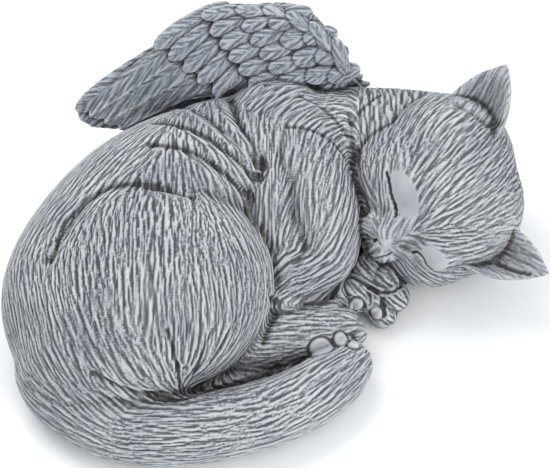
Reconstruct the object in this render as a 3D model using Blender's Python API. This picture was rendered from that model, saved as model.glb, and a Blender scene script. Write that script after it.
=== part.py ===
"""Kitten angel garden statue: a sleeping kitten curled on its side with folded wings, cast in one piece.

The curled back runs along the left and rear, the belly and paws face front right, the head rests on the
forepaws. Lengths are metres, +Z is up, and the origin is the middle of the flat underside.
"""

import math

import bmesh
import bpy
import numpy as np
from mathutils import Matrix, Vector

# Driving dimensions, in metres
LENGTH = 0.250
HEAD_WIDTH = 0.288 * LENGTH
EAR_HEIGHT = 0.104 * LENGTH
EAR_THICKNESS = 0.020 * LENGTH
TAIL_THICKNESS = 0.128 * LENGTH
WING_SPAN = 0.520 * LENGTH
WING_CHORD = 0.185 * LENGTH
FEATHER_WIDTH = 0.048 * LENGTH
FEATHER_THICKNESS = 0.014 * LENGTH
TOE_SIZE = 0.050 * LENGTH

# How finely the clay is modelled, and how many triangles the finished solid may have
CLAY_GRAIN = 0.0052 * LENGTH
FINISH_GRAIN = 0.0046 * LENGTH
TRIANGLES = 9600

# Pose and proportions are given in grains of 1/250 of the length, so a row reads like millimetres
U = LENGTH / 250.0

# The back, neck and shoulders: x, y, z, radius along a curve that starts at the nape and ends at the rump
SPINE = [
    (80, 75, 41, 27.5),
    (58, 78, 40, 28.5),
    (34, 78, 39, 30),
    (6, 70, 40, 34),
    (-27, 57, 38, 40),
    (-61, 38, 33, 41.5),
    (-87, 2, 28, 38),
    (-83, -30, 25, 35),
]
TAIL_PATH = [
    (-96, -12, 22),
    (-99, -40, 18),
    (-75, -62, 15),
    (-48, -67, 14.5),
    (-18, -62, 14.5),
    (7, -52, 14),
    (25, -38, 13.5),
    (32, -29, 12.5),
]
TAIL_TAPER = (1.15, 1.12, 1.03, 1.0, 0.99, 0.96, 0.88, 0.74)
NEAR_FORELEG = [
    (0, 77, 47.5, 30),
    (7, 66, 49, 28),
    (14, 48, 47, 23.5),
    (21, 30, 41, 18.5),
    (22, 17, 34.5, 14.5),
    (13, 9, 30, 12.4),
    (6, 6, 29, 12),
]
FAR_FORELEG = [(20, 44, 18, 18), (32, 28, 14, 15), (36, 18, 12, 12)]
HIND_FOOT = [(-24, -24, 20, 14), (0, -19, 19, 12.5), (24, -13, 17, 11)]
BELLY = [(-20, 30, 22, 28), (14, 14, 14, 20), (20, -8, 10, 13)]
LAP = [(-14, 4, 12, 14), (6, -2, 12, 14)]
TAIL_HOLLOW = [(-60, -48, 10, 14), (-30, -44, 9, 13), (4, -34, 6, 11), (24, -26, 6, 8)]

# Thigh: centre, half sizes along x, y and z, and turn about the upright
THIGH_CENTRE = (-56, 1, 36)
THIGH_SIZE = (55, 56, 41)
THIGH_TURN = math.radians(-6)

# Rump: the mass that carries the thigh over into the root of the tail
RUMP_CENTRE = (-69, -9, 30)
RUMP_SIZE = (50, 54, 41.5)

# Folds pressed into the coat: depth, half width, then the line that each follows over the flank
FOLDS = [
    (2.2, 2.6, [(-56, 68, 70), (-41, 59, 77), (-25, 47, 77), (-11, 37, 68), (0, 32, 57)]),
    (2.0, 2.4, [(-58, 50, 75), (-41, 45, 77), (-25, 36, 72), (-10, 28, 59)]),
    (1.6, 2.6, [(-45, 84, 63), (-31, 64, 77), (-21, 53, 77), (-9, 42, 71)]),
    (2.6, 3.0, [(-22, 84, 69), (-18, 65, 77), (-10, 48, 74), (-5, 36, 64), (3, 18, 41)]),
    (2.0, 2.8, [(-101, -7, 62), (-92, 12, 67), (-80, 25, 71), (-64, 28, 73), (-51, 25, 73), (-38, 22, 72)]),
]
EYELID_SLITS = [
    (1.0, 1.3, [(50.5, 42.6, 66.7), (51.9, 34.9, 61.1), (54.6, 29.5, 55.5), (53.7, 26.5, 54.1)]),
    (1.0, 1.3, [(61, 15.6, 40.2), (63.2, 15.2, 42), (68.3, 9.5, 39.7), (71.9, 8.1, 37.8)]),
]

# Head frame: where the middle of the skull is, and the directions of the nose, the crown and the raised ear
HEAD_CENTRE = Vector((79.6, 48.0, 35.5))
TO_NOSE = Vector((-0.639, -0.686, 0.347)).normalized()
TO_CROWN = Vector((0.639, -0.223, 0.736)).normalized()
TO_RAISED_EAR = TO_CROWN.cross(TO_NOSE).normalized() * -1.0

# How much of an ear's width its cup takes, and how slowly the ear narrows toward a rounded tip
EAR_CUP = 0.8
EAR_ROUNDNESS = 2.3

# Ears, raised one first: middle of the base, tip, direction and half width of the base, and where the cup faces
EARS = [
    ((92.4, 71.5, 71), (104, 90, 86), (14, -12, 2), (-0.35, -0.6, 0.7)),
    ((101.5, 20.5, 35), (124.5, 10.5, 29.5), (9.5, 10.5, 4), (-0.1, -0.75, 0.65)),
]

# How blunt a feather's ends are: 1 for a pointed oval, less for a rounder end
FEATHER_BLUNTNESS = 0.8

# Wings, the one that shows first: its root, the direction of its feathers, the direction across them toward the
# leading edge, the side its feathers face, its share of the full size and how strongly it bends toward the tip
WINGS = [
    ((25.0, 97.7, 79.6), (-0.975, -0.137, -0.178), (-0.224, 0.651, 0.725), (0, -0.75, 0.66), 1.0, 1.0),
    ((34.0, 111.0, 50.0), (-0.957, -0.240, -0.170), (-0.100, -0.350, 0.930), (0, 0.9, 0.3), 0.84, 2.2),
]


def clear_scene():
    for item in list(bpy.data.objects):
        bpy.data.objects.remove(item, do_unlink=True)


def smooth_path(rows, steps=8):
    """Points along a smooth curve through the rows, each with as many numbers as a row has."""
    rows = np.array(rows, dtype=float)
    padded = np.vstack([2 * rows[0] - rows[1], rows, 2 * rows[-1] - rows[-2]])
    points = []
    for i in range(1, len(padded) - 2):
        a, b, c, d = padded[i - 1:i + 3]
        for t in np.linspace(0, 1, steps, endpoint=False):
            points.append(0.5 * (2 * b + (c - a) * t + (2 * a - 5 * b + 4 * c - d) * t ** 2
                                 + (3 * b - a - 3 * c + d) * t ** 3))
    points.append(rows[-1])
    return np.array(points)


def add_ball(clay, centre, size, axes=None):
    """An ellipsoid at centre with half sizes along three axes, all in grains of the length."""
    if isinstance(size, (int, float)):
        size = (size, size, size)
    turn = Matrix.Identity(4)
    if axes is not None:
        for column, axis in enumerate(axes):
            for row in range(3):
                turn[row][column] = axis[row]
    place = Matrix.Translation(Vector(centre) * U) @ turn @ Matrix.Diagonal((*[s * U for s in size], 1.0))
    bmesh.ops.create_icosphere(clay, subdivisions=4, radius=1.0, matrix=place)


def add_limb(clay, rows, sides=28):
    """A round limb along a smooth curve through rows of x, y, z and radius, with round ends."""
    path = smooth_path(rows)
    places = [Vector(p[:3]) for p in path]
    radii = [float(p[3]) for p in path]
    tangents = []
    for i in range(len(places)):
        tangents.append((places[min(i + 1, len(places) - 1)] - places[max(i - 1, 0)]).normalized())
    stations = []
    for lift in (80, 60, 40, 20):
        angle = math.radians(lift)
        stations.append((places[0] - tangents[0] * radii[0] * math.sin(angle), tangents[0],
                         radii[0] * math.cos(angle)))
    stations += list(zip(places, tangents, radii))
    for lift in (20, 40, 60, 80):
        angle = math.radians(lift)
        stations.append((places[-1] + tangents[-1] * radii[-1] * math.sin(angle), tangents[-1],
                         radii[-1] * math.cos(angle)))
    side = tangents[0].orthogonal().normalized()
    rings = []
    for place, tangent, radius in stations:
        side = (side - tangent * side.dot(tangent)).normalized()
        other = tangent.cross(side)
        ring = []
        for k in range(sides):
            angle = 2 * math.pi * k / sides
            ring.append(clay.verts.new((place + (side * math.cos(angle) + other * math.sin(angle)) * radius) * U))
        rings.append(ring)
    for lower, upper in zip(rings, rings[1:]):
        for k in range(sides):
            clay.faces.new((lower[k], lower[(k + 1) % sides], upper[(k + 1) % sides], upper[k]))
    clay.faces.new(list(reversed(rings[0])))
    clay.faces.new(rings[-1])


def add_shell(clay, surface, thickness, columns=14, rows=12):
    """A closed curved shell: surface(s, t) gives its front for s and t from 0 to 1."""
    front = []
    for i in range(rows + 1):
        front.append([Vector(surface(i / rows, k / columns)) for k in range(columns + 1)])
    normals = []
    for i in range(rows + 1):
        line = []
        for k in range(columns + 1):
            down = front[min(i + 1, rows)][k] - front[max(i - 1, 0)][k]
            over = front[i][min(k + 1, columns)] - front[i][max(k - 1, 0)]
            line.append(over.cross(down).normalized())
        normals.append(line)
    near = [[clay.verts.new(p * U) for p in line] for line in front]
    far = [[clay.verts.new((p - n * thickness) * U) for p, n in zip(line, lean)]
           for line, lean in zip(front, normals)]
    for i in range(rows):
        for k in range(columns):
            clay.faces.new((near[i][k], near[i][k + 1], near[i + 1][k + 1], near[i + 1][k]))
            clay.faces.new((far[i][k], far[i + 1][k], far[i + 1][k + 1], far[i][k + 1]))
    for i in range(rows):
        clay.faces.new((near[i][0], near[i + 1][0], far[i + 1][0], far[i][0]))
        clay.faces.new((near[i][columns], far[i][columns], far[i + 1][columns], near[i + 1][columns]))
    for k in range(columns):
        clay.faces.new((near[0][k], far[0][k], far[0][k + 1], near[0][k + 1]))
        clay.faces.new((near[rows][k], near[rows][k + 1], far[rows][k + 1], far[rows][k]))


def on_head(nose, crown, ear):
    """A place given from the middle of the skull: toward the nose, the crown and the raised ear."""
    return HEAD_CENTRE + TO_NOSE * nose + TO_CROWN * crown + TO_RAISED_EAR * ear


class WingFrame:
    """Places on a wing, given along its feathers, across them and off its face."""

    def __init__(self, root, along, across, faces, size, bend):
        self.root = Vector(root)
        self.along = Vector(along).normalized()
        across = Vector(across)
        self.across = (across - self.along * across.dot(self.along)).normalized()
        self.off = self.along.cross(self.across).normalized()
        if self.off.dot(Vector(faces)) < 0:
            self.off = -self.off
        self.span = WING_SPAN / U * size
        self.chord = WING_CHORD / U * size
        self.bend = bend

    def place(self, along, across, off):
        return self.root + self.along * along + self.across * across + self.off * off

    def dome(self, along, across):
        """How far the face stands off its own plane: it is domed and droops toward the tip."""
        droop = 11.0 * self.bend * (along / self.span - 0.25) ** 2
        return 3.0 - droop - 9.0 * (across / self.chord - 0.25) ** 2


def body_clay():
    """Everything that flows together: back, neck, thigh, belly, foreleg, foot and tail."""
    clay = bmesh.new()
    add_limb(clay, SPINE)
    sides = (Vector((math.cos(THIGH_TURN), math.sin(THIGH_TURN), 0)),
             Vector((-math.sin(THIGH_TURN), math.cos(THIGH_TURN), 0)), Vector((0, 0, 1)))
    add_ball(clay, THIGH_CENTRE, THIGH_SIZE, sides)
    add_ball(clay, RUMP_CENTRE, RUMP_SIZE)
    tail_radius = TAIL_THICKNESS / U / 2
    add_limb(clay, [(*p, tail_radius * taper) for p, taper in zip(TAIL_PATH, TAIL_TAPER)])
    add_limb(clay, NEAR_FORELEG)
    add_limb(clay, FAR_FORELEG)
    add_limb(clay, HIND_FOOT)
    add_limb(clay, BELLY)
    add_limb(clay, LAP)
    add_limb(clay, TAIL_HOLLOW)
    return clay


def skull_clay(clay):
    """Skull, temple and cheeks, which run into one smooth dome."""
    wide = HEAD_WIDTH / U / 2
    add_ball(clay, on_head(0, 0, 0), (1.05 * wide, 0.96 * wide, wide), (TO_NOSE, TO_CROWN, TO_RAISED_EAR))
    add_ball(clay, on_head(-0.20 * wide, 0.04 * wide, 0.47 * wide), 0.94 * wide)
    add_ball(clay, on_head(0.32 * wide, -0.24 * wide, 0.50 * wide), 0.78 * wide)
    add_ball(clay, on_head(0.30 * wide, -0.22 * wide, -0.22 * wide), 0.76 * wide)


def face_clay(clay):
    """Muzzle, bridge of the nose, whisker pads, brows and chin."""
    wide = HEAD_WIDTH / U / 2
    muzzle = (0.38 * wide, 0.34 * wide, 0.42 * wide)
    add_ball(clay, on_head(0.86 * wide, -0.28 * wide, 0), muzzle, (TO_NOSE, TO_CROWN, TO_RAISED_EAR))
    bridge = [(0.50, 0.16, 0.46), (0.88, -0.02, 0.31), (1.14, -0.16, 0.16)]
    add_limb(clay, [(*on_head(nose * wide, crown * wide, 0), r * wide) for nose, crown, r in bridge])
    for side in (-1, 1):
        add_ball(clay, on_head(1.08 * wide, -0.36 * wide, 0.15 * wide * side), 0.21 * wide)
        add_ball(clay, on_head(0.66 * wide, 0.10 * wide, 0.42 * wide * side), 0.36 * wide)
    add_ball(clay, on_head(0.98 * wide, -0.55 * wide, 0), 0.20 * wide)


def ear_clay(clay, base, tip, base_side, facing):
    """A cupped ear from the middle of its base to its tip; base_side runs along the half width of its base."""
    base = Vector(base)
    tip = Vector(tip)
    up = (tip - base).normalized()
    side = Vector(base_side)
    half_width = side.length
    side = (side - up * side.dot(up)).normalized()
    facing = Vector(facing)
    facing = (facing - up * facing.dot(up) - side * facing.dot(side)).normalized()
    height = EAR_HEIGHT / U
    root = tip - up * height * 1.5
    wall = EAR_THICKNESS / U
    steps = 12
    rings = []
    for s in np.linspace(0, 1, 14):
        width = half_width * (1.04 - s ** EAR_ROUNDNESS)
        back = 0.78 * width
        hollow = max(back - wall, 0)
        ring = []
        for k in range(steps):
            angle = math.pi * k / steps
            ring.append(side * width * math.cos(angle) - facing * back * math.sin(angle))
        for k in range(steps):
            across = 2 * k / steps - 1
            dip = max(1 - (across / EAR_CUP) ** 2, 0)
            ring.append(side * width * across - facing * hollow * dip)
        middle = root + (tip - root) * s
        rings.append([clay.verts.new((middle + p) * U) for p in ring])
    around = len(rings[0])
    for lower, upper in zip(rings, rings[1:]):
        for k in range(around):
            clay.faces.new((lower[k], lower[(k + 1) % around], upper[(k + 1) % around], upper[k]))
    clay.faces.new(list(reversed(rings[0])))
    clay.faces.new(rings[-1])


def feather(clay, wing, tip, length, width, turn, off, lift):
    """One feather: a flat leaf whose blunt tip lies at (along, across) on the wing, turned in the wing's plane."""
    heading = wing.along * math.cos(turn) + wing.across * math.sin(turn)
    heading = (heading + wing.off * math.tan(lift)).normalized()
    sideways = wing.off.cross(heading).normalized()
    outward = heading.cross(sideways).normalized()
    centre = wing.place(tip[0], tip[1], off) - heading * length / 2
    leaf = bmesh.ops.create_icosphere(clay, subdivisions=3, radius=1.0)["verts"]
    for vert in leaf:
        along, over, rise = vert.co
        along = math.copysign(abs(along) ** FEATHER_BLUNTNESS, along)
        vert.co = (centre + heading * along * length / 2 + sideways * over * width / 2
                   + outward * rise * FEATHER_THICKNESS / U / 2) * U


# The wing's outline: place along the span, and its lower and upper edges, as shares of span and chord
WING_OUTLINE = [
    (-0.055, -0.20, -0.02),
    (-0.02, -0.25, 0.28),
    (0.03, -0.25, 0.52),
    (0.11, -0.23, 0.67),
    (0.26, -0.19, 0.73),
    (0.42, -0.11, 0.71),
    (0.56, -0.09, 0.57),
    (0.69, -0.17, 0.41),
    (0.81, -0.21, 0.24),
    (0.90, -0.12, 0.12),
    (0.935, -0.02, 0.06),
]

# Feather rows from the tip back to the root: how many, place of the first and last tip as shares of span and
# chord, length as a share of the span, share of the full width, turn of the first and last feather in degrees
FEATHER_ROWS = [
    (4, (0.94, 0.07), (0.80, -0.20), 0.48, 1.10, -20, -8),
    (5, (0.61, 0.52), (0.44, -0.09), 0.32, 0.92, -17, -36),
    (5, (0.40, 0.53), (0.31, -0.06), 0.20, 0.80, -12, -8),
    (5, (0.285, 0.50), (0.205, -0.10), 0.17, 0.76, -8, -4),
    (4, (0.19, 0.47), (0.11, -0.12), 0.17, 0.90, -6, -4),
    (3, (0.09, 0.28), (0.04, -0.15), 0.14, 0.80, 4, 0),
]

# Feathers of the leading edge, from the outermost one round the bend to the shoulder
EDGE_FEATHERS = 6


def wing_clay(clay, wing):
    span = wing.span
    chord = wing.chord
    width = FEATHER_WIDTH / U * chord / (WING_CHORD / U)
    outline = smooth_path(WING_OUTLINE, 4) * np.array([span, chord, chord])

    def face(s, t):
        along, low, top = outline[int(round(s * (len(outline) - 1)))]
        across = low + (top - low) * t
        rim = (2 * t - 1) ** 6 * 2.0
        return wing.place(along, across, wing.dome(along, across) - 2.0 - rim)

    behind = wing.across.cross(wing.along).dot(wing.off)
    add_shell(clay, face, 0.24 * chord * behind, columns=12, rows=len(outline) - 1)
    add_ball(clay, wing.place(0.02 * span, -0.12 * chord, -10), 11)
    for layer, (count, first, last, length, broad, turn_first, turn_last) in enumerate(FEATHER_ROWS):
        for k in range(count):
            share = k / (count - 1)
            tip = (span * (first[0] + (last[0] - first[0]) * share),
                   chord * (first[1] + (last[1] - first[1]) * share))
            turn = math.radians(turn_first + (turn_last - turn_first) * share)
            off = wing.dome(*tip) - 0.4 + 0.12 * layer
            feather(clay, wing, tip, span * length, broad * width, turn, off, math.radians(6))
    for k in range(EDGE_FEATHERS):
        share = k / (EDGE_FEATHERS - 1)
        tip = (span * (0.42 - 0.45 * share ** 0.8), chord * (0.72 - 0.50 * share ** 2.4))
        turn = math.radians(4 + 81 * share ** 1.1)
        off = wing.dome(*tip) + 0.8
        feather(clay, wing, tip, span * (0.19 - 0.05 * share), 0.62 * width, turn, off, math.radians(3))


def paw_clay(clay):
    add_ball(clay, (32, 13, 15), (12, 10, 10))
    add_ball(clay, (41, 22, 19), (11, 10, 9))
    add_ball(clay, (46, 14, 12), (9, 10, 9))
    add_ball(clay, (28, -10, 15), (10, 10, 11))


def toe_clay(clay):
    """Toes and pads of both forepaws and the hind foot."""
    toe = TOE_SIZE / U / 2
    add_ball(clay, (37, 10, 13), toe * 1.15)
    add_ball(clay, (44, 8, 12), toe)
    add_ball(clay, (50, 18, 18), toe * 1.25)
    add_ball(clay, (54, 11, 12), toe * 1.25)
    add_ball(clay, (49, 5, 7), toe * 1.15)
    add_ball(clay, (31, -7, 17), toe)
    add_ball(clay, (35, -12, 14), toe)
    add_ball(clay, (20, -22, 16), (0.95 * toe, 0.5 * toe, 0.8 * toe))


def finished_mesh(source, grain, softening):
    """Fuse overlapping clay into one skin and soften its joins."""
    mesh = bpy.data.meshes.new("clay")
    source.to_mesh(mesh)
    source.free()
    clay = bpy.data.objects.new("clay", mesh)
    bpy.context.scene.collection.objects.link(clay)
    fuse = clay.modifiers.new("Fuse", "REMESH")
    fuse.mode = "VOXEL"
    fuse.voxel_size = grain
    soften = clay.modifiers.new("Soften", "SMOOTH")
    soften.factor = 0.5
    soften.iterations = softening
    shape = bpy.data.meshes.new_from_object(clay.evaluated_get(bpy.context.evaluated_depsgraph_get()))
    bpy.data.objects.remove(clay, do_unlink=True)
    bpy.data.meshes.remove(mesh)
    return shape


def fill_pockets(shape):
    """Drop every inner skin that encloses a pocket between the masses, so that the casting is solid."""
    shape.verts.ensure_lookup_table()
    seen = set()
    skins = []
    for start in shape.verts:
        if start in seen:
            continue
        seen.add(start)
        skin = [start]
        for vert in skin:
            for edge in vert.link_edges:
                other = edge.other_vert(vert)
                if other not in seen:
                    seen.add(other)
                    skin.append(other)
        skins.append(skin)
    skins.sort(key=len)
    for skin in skins[:-1]:
        bmesh.ops.delete(shape, geom=skin, context="VERTS")


def press(mesh, lines):
    """Sink grooves into the skin along smooth lines; each line has its depth and half width."""
    count = len(mesh.vertices)
    places = np.empty(count * 3, dtype=np.float32)
    mesh.vertices.foreach_get("co", places)
    places = places.reshape(-1, 3)
    normals = np.empty(count * 3, dtype=np.float32)
    mesh.vertices.foreach_get("normal", normals)
    normals = normals.reshape(-1, 3)
    for depth, half_width, rows in lines:
        away = np.full(count, 1.0)
        for point in smooth_path(rows, 16):
            away = np.minimum(away, np.linalg.norm(places - point * U, axis=1))
        places -= normals * (depth * U * np.exp(-(away / (half_width * U)) ** 2))[:, None]
    mesh.vertices.foreach_set("co", places.ravel())
    mesh.update()


def build():
    clear_scene()
    body = finished_mesh(body_clay(), CLAY_GRAIN, 12)
    dome = bmesh.new()
    skull_clay(dome)
    skull = finished_mesh(dome, FINISH_GRAIN, 70)
    soft = bmesh.new()
    soft.from_mesh(skull)
    bpy.data.meshes.remove(skull)
    face_clay(soft)
    paw_clay(soft)
    soft_parts = finished_mesh(soft, FINISH_GRAIN, 12)
    clay = bmesh.new()
    clay.from_mesh(body)
    clay.from_mesh(soft_parts)
    bpy.data.meshes.remove(body)
    bpy.data.meshes.remove(soft_parts)
    for ear in EARS:
        ear_clay(clay, *ear)
    for wing in WINGS:
        wing_clay(clay, WingFrame(*wing))
    toe_clay(clay)
    skin = finished_mesh(clay, FINISH_GRAIN, 1)

    press(skin, FOLDS + EYELID_SLITS)
    shape = bmesh.new()
    shape.from_mesh(skin)
    floor = bmesh.ops.bisect_plane(shape, geom=shape.verts[:] + shape.edges[:] + shape.faces[:],
                                   dist=1e-7, plane_co=(0, 0, 0), plane_no=(0, 0, 1), clear_inner=True)
    rim = [e for e in floor["geom_cut"] if isinstance(e, bmesh.types.BMEdge)]
    bmesh.ops.holes_fill(shape, edges=rim)
    fill_pockets(shape)
    shape.to_mesh(skin)
    shape.free()

    points = np.empty(len(skin.vertices) * 3, dtype=np.float32)
    skin.vertices.foreach_get("co", points)
    points = points.reshape(-1, 3)
    middle = (points.min(axis=0) + points.max(axis=0)) / 2
    skin.transform(Matrix.Translation((-middle[0], -middle[1], 0)))
    statue = bpy.data.objects.new("kitten_angel", skin)
    bpy.context.scene.collection.objects.link(statue)
    thin = statue.modifiers.new("Facets", "DECIMATE")
    thin.ratio = min(1.0, TRIANGLES / (2.0 * len(skin.polygons)))
    stone = bpy.data.materials.new("cast_stone")
    stone.use_nodes = True
    finish = stone.node_tree.nodes["Principled BSDF"]
    finish.inputs["Base Color"].default_value = (0.36, 0.42, 0.44, 1)
    finish.inputs["Roughness"].default_value = 0.8
    finish.inputs["Metallic"].default_value = 0.0
    skin.materials.append(stone)


build()
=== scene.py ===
"""The looks of a cast stone kitten angel: combed fur, feather barbs, closed eyes and a dry-brushed wash."""

import math

import bmesh
import bpy
import numpy as np
from mathutils import Matrix, Vector
from mathutils.bvhtree import BVHTree
from mathutils.kdtree import KDTree


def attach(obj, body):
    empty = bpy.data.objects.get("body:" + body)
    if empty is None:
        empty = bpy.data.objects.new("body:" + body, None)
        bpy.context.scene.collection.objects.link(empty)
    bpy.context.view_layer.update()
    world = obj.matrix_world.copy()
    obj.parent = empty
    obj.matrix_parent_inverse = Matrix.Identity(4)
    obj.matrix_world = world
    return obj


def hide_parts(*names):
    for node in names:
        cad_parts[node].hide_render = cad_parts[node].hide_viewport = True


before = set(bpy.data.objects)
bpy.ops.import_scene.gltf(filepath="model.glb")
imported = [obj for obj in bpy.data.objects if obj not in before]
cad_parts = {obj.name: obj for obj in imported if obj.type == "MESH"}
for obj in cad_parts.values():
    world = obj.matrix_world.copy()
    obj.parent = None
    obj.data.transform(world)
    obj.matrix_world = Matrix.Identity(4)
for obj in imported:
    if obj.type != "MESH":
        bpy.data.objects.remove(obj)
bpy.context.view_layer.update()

# Real sizes of the casting, in metres
LENGTH = 0.250
HEAD_WIDTH = 0.288 * LENGTH
EAR_HEIGHT = 0.104 * LENGTH
EAR_THICKNESS = 0.020 * LENGTH
TAIL_THICKNESS = 0.128 * LENGTH
WING_SPAN = 0.520 * LENGTH
WING_CHORD = 0.185 * LENGTH
FEATHER_WIDTH = 0.048 * LENGTH
FEATHER_THICKNESS = 0.014 * LENGTH
TOE_SIZE = 0.050 * LENGTH

# One unit of the pose tables: a millimetre at this length
U = LENGTH / 250.0

# How finely the clay is remeshed, in units, and how often its joins are softened
CLAY_GRAIN = 1.1
BODY_SOFTENING = 16
SKULL_SOFTENING = 80
FACE_SOFTENING = 14
FINISH_GRAIN = 0.545
SHADE_GRAIN = 1.8

# The back, neck and shoulders: x, y, z, radius along a curve that starts at the nape and ends at the rump
SPINE = [
    (80, 75, 41, 27.5), (58, 78, 40, 28.5), (34, 78, 39, 30), (6, 70, 40, 34), (-27, 57, 38, 40),
    (-61, 38, 33, 41.5), (-87, 2, 28, 38), (-83, -30, 25, 35),
]

# Tail: its path, and its thickness as shares of the full one. Then the limbs and the masses below, as above
TAIL_PATH = [
    (-96, -12, 22), (-99, -40, 18), (-75, -62, 15), (-48, -67, 14.5), (-18, -62, 14.5), (7, -52, 14),
    (25, -38, 13.5), (32, -29, 12.5),
]
TAIL_TAPER = (1.15, 1.12, 1.03, 1.0, 0.99, 0.96, 0.88, 0.74)
NEAR_FORELEG = [
    (0, 77, 47.5, 30), (7, 66, 49, 28), (14, 48, 47, 23.5), (21, 30, 41, 18.5), (22, 17, 34.5, 14.5),
    (13, 9, 30, 12.4), (6, 6, 29, 12),
]
FAR_FORELEG = [(20, 44, 18, 18), (32, 28, 14, 15), (36, 18, 12, 12)]
HIND_FOOT = [(-24, -24, 20, 14), (0, -19, 19, 12.5), (24, -13, 17, 11)]
BELLY = [(-20, 30, 22, 28), (14, 14, 14, 20), (20, -8, 10, 13)]
LAP = [(-14, 4, 12, 14), (6, -2, 12, 14)]
TAIL_HOLLOW = [(-60, -48, 10, 14), (-30, -44, 9, 13), (4, -34, 6, 11), (24, -26, 6, 8)]

# Masses that bridge the clefts before the lap, in the armpit and between neck and head
LAP_FRONT = [(-7, -4, 24, 10), (1, -3, 26.5, 9.5), (6, -6, 20, 9.5), (12, -6, 19, 9.5), (22, -2, 18, 9.5)]
ARMPIT_FILL = [(-4, 43, 60, 10.5), (-3, 35, 57, 11), (-3, 27, 50, 11), (3, 22, 42, 11), (4, 16, 38, 10.5),
               (0, 10, 34, 9)]
RUFF = [(45, 61, 49, 14), (56, 72, 51, 15), (70, 78, 51, 15)]

# Thigh: centre, half sizes along x, y and z, and turn about the upright
THIGH_CENTRE = (-56, 1, 36)
THIGH_SIZE = (55, 56, 41)
THIGH_TURN = math.radians(-6)

# Rump: the mass that carries the thigh over into the root of the tail
RUMP_CENTRE = (-69, -9, 30)
RUMP_SIZE = (50, 54, 41.5)

# Folds pressed into the coat: depth, half width, then the line that each follows over the flank
FOLDS = [
    (2.2, 2.6, [(-56, 68, 70), (-41, 59, 77), (-25, 47, 77), (-11, 37, 68), (0, 32, 57)]),
    (2.0, 2.4, [(-58, 50, 75), (-41, 45, 77), (-25, 36, 72), (-10, 28, 59)]),
    (1.6, 2.6, [(-45, 84, 63), (-31, 64, 77), (-21, 53, 77), (-9, 42, 71)]),
    (2.6, 3.0, [(-22, 84, 69), (-18, 65, 77), (-10, 48, 74), (-5, 36, 64), (3, 18, 41)]),
    (2.0, 2.8, [(-101, -7, 62), (-92, 12, 67), (-80, 25, 71), (-64, 28, 73), (-51, 25, 73), (-38, 22, 72)]),
]

# The floor of the raised ear's cup, before its root
EAR_HOLLOW = [(84.5, 75, 75.5), (91.5, 70.5, 75), (98, 66, 73)]

# Deep creases, in the same form: under the forearm, between arm and face, over the neck, between arm and
# flank, thigh and tail, thigh and foot, two on the shoulder, the ear's cup, and three from thigh to tail
CREASES = [
    (1.7, 1.9, [(-3.2, -2, 48), (-2.3, -11, 41), (2.3, -5.6, 27), (10.5, -7.2, 26), (20, -4, 26),
                (28, 2.6, 27), (34, 10, 30)]),
    (1.1, 1.8, [(33.7, 72.4, 68.7), (35, 60.4, 63.9), (37, 50, 58.6), (38.7, 39.4, 53.6), (40.5, 30.6, 47.7),
                (40.5, 22, 42.4)]),
    (0.8, 1.3, [(35, 69.6, 67.9), (38.7, 76.3, 68.4), (43.2, 82.5, 68), (47.8, 87.7, 66.8)]),
    (1.0, 2.0, [(-12.7, 70.4, 75.4), (-8.6, 54.5, 74.5), (-4, 40.8, 66), (-0.5, 32.8, 54.4),
                (1, 25.8, 43.6)]),
    (1.2, 2.0, [(-79.6, -58.2, 44.7), (-66, -61.8, 37.6), (-52.3, -60.2, 32.1), (-41.4, -58.7, 28.3),
                (-27.3, -49.3, 21.9), (-13.7, -41.5, 19.8), (0, -34.7, 18)]),
    (1.0, 1.6, [(-5.9, -29, 29), (-3.2, -22.6, 32), (-0.5, -14.6, 31)]),
    (0.9, 1.4, [(11.4, 78.6, 75.6), (20.5, 75.3, 72.4), (27.3, 69.2, 69.8), (33.2, 62, 65.6)]),
    (0.9, 1.2, [(4.6, 59.7, 75.4), (15.9, 58.9, 74.3), (25, 56.8, 69.7), (31.9, 52.5, 62.8)]),
    (2.6, 4.0, EAR_HOLLOW),
    (0.9, 1.1, [(-47.8, -44.9, 58.5), (-45, -50, 50.5), (-42.8, -53.7, 39.3), (-41.4, -55.2, 28.3)]),
    (0.8, 1.0, [(-27.8, -40.8, 53.6), (-31.8, -47, 47), (-36, -51, 36.2), (-38.7, -53.3, 26)]),
    (0.7, 1.0, [(-16.8, -32.2, 51.9), (-22.3, -41, 46.8), (-28.7, -47.5, 38.9)]),
]

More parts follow.
